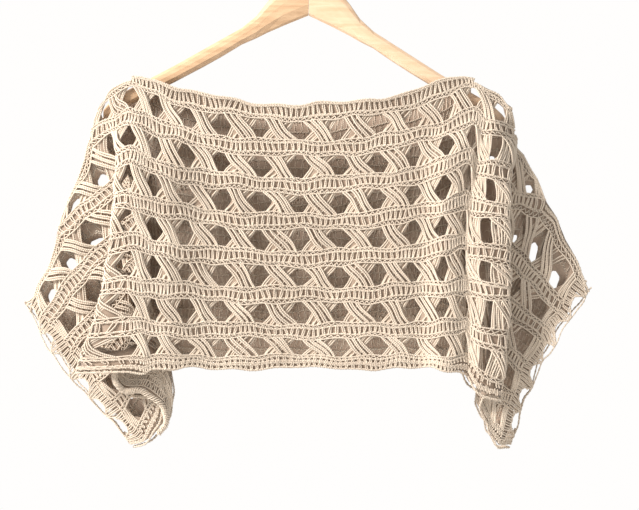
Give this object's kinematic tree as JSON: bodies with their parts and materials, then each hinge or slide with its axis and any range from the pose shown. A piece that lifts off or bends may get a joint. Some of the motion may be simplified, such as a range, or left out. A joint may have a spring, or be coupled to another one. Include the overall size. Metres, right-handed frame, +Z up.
{
  "type": "crochet crop top on a wooden clothes hanger",
  "caption": "Open-lace crochet crop top with loose batwing sleeves and a wide boat neck, hanging on a wooden hanger with a wire hook.",
  "frame": {"origin": "inner top of the hanger's hook, where a rod or peg carries it", "axes": "+Z up; -Y the wearer's front; +X towards the right of the picture, the wearer's left"},
  "size_m": [0.5956, 0.0819, 0.5898],
  "materials": {
    "yarn": "matte crochet cotton yarn, sandy beige",
    "edging": "matte crochet cotton yarn, closely worked",
    "wood_left": "clear-lacquered wood, tan",
    "wood_right": "clear-lacquered wood, pale",
    "hook_wire": "bright plated wire"
  },
  "bodies": {
    "root": {"front_panel": "yarn", "back_panel": "yarn", "neck_band_front": "edging", "neck_band_back": "edging", "hem_band_front": "edging", "hem_band_back": "edging", "hanger_arm_left": "wood_left", "hanger_arm_right": "wood_right", "hanger_hook": "hook_wire"}
  },
  "joints": []
}
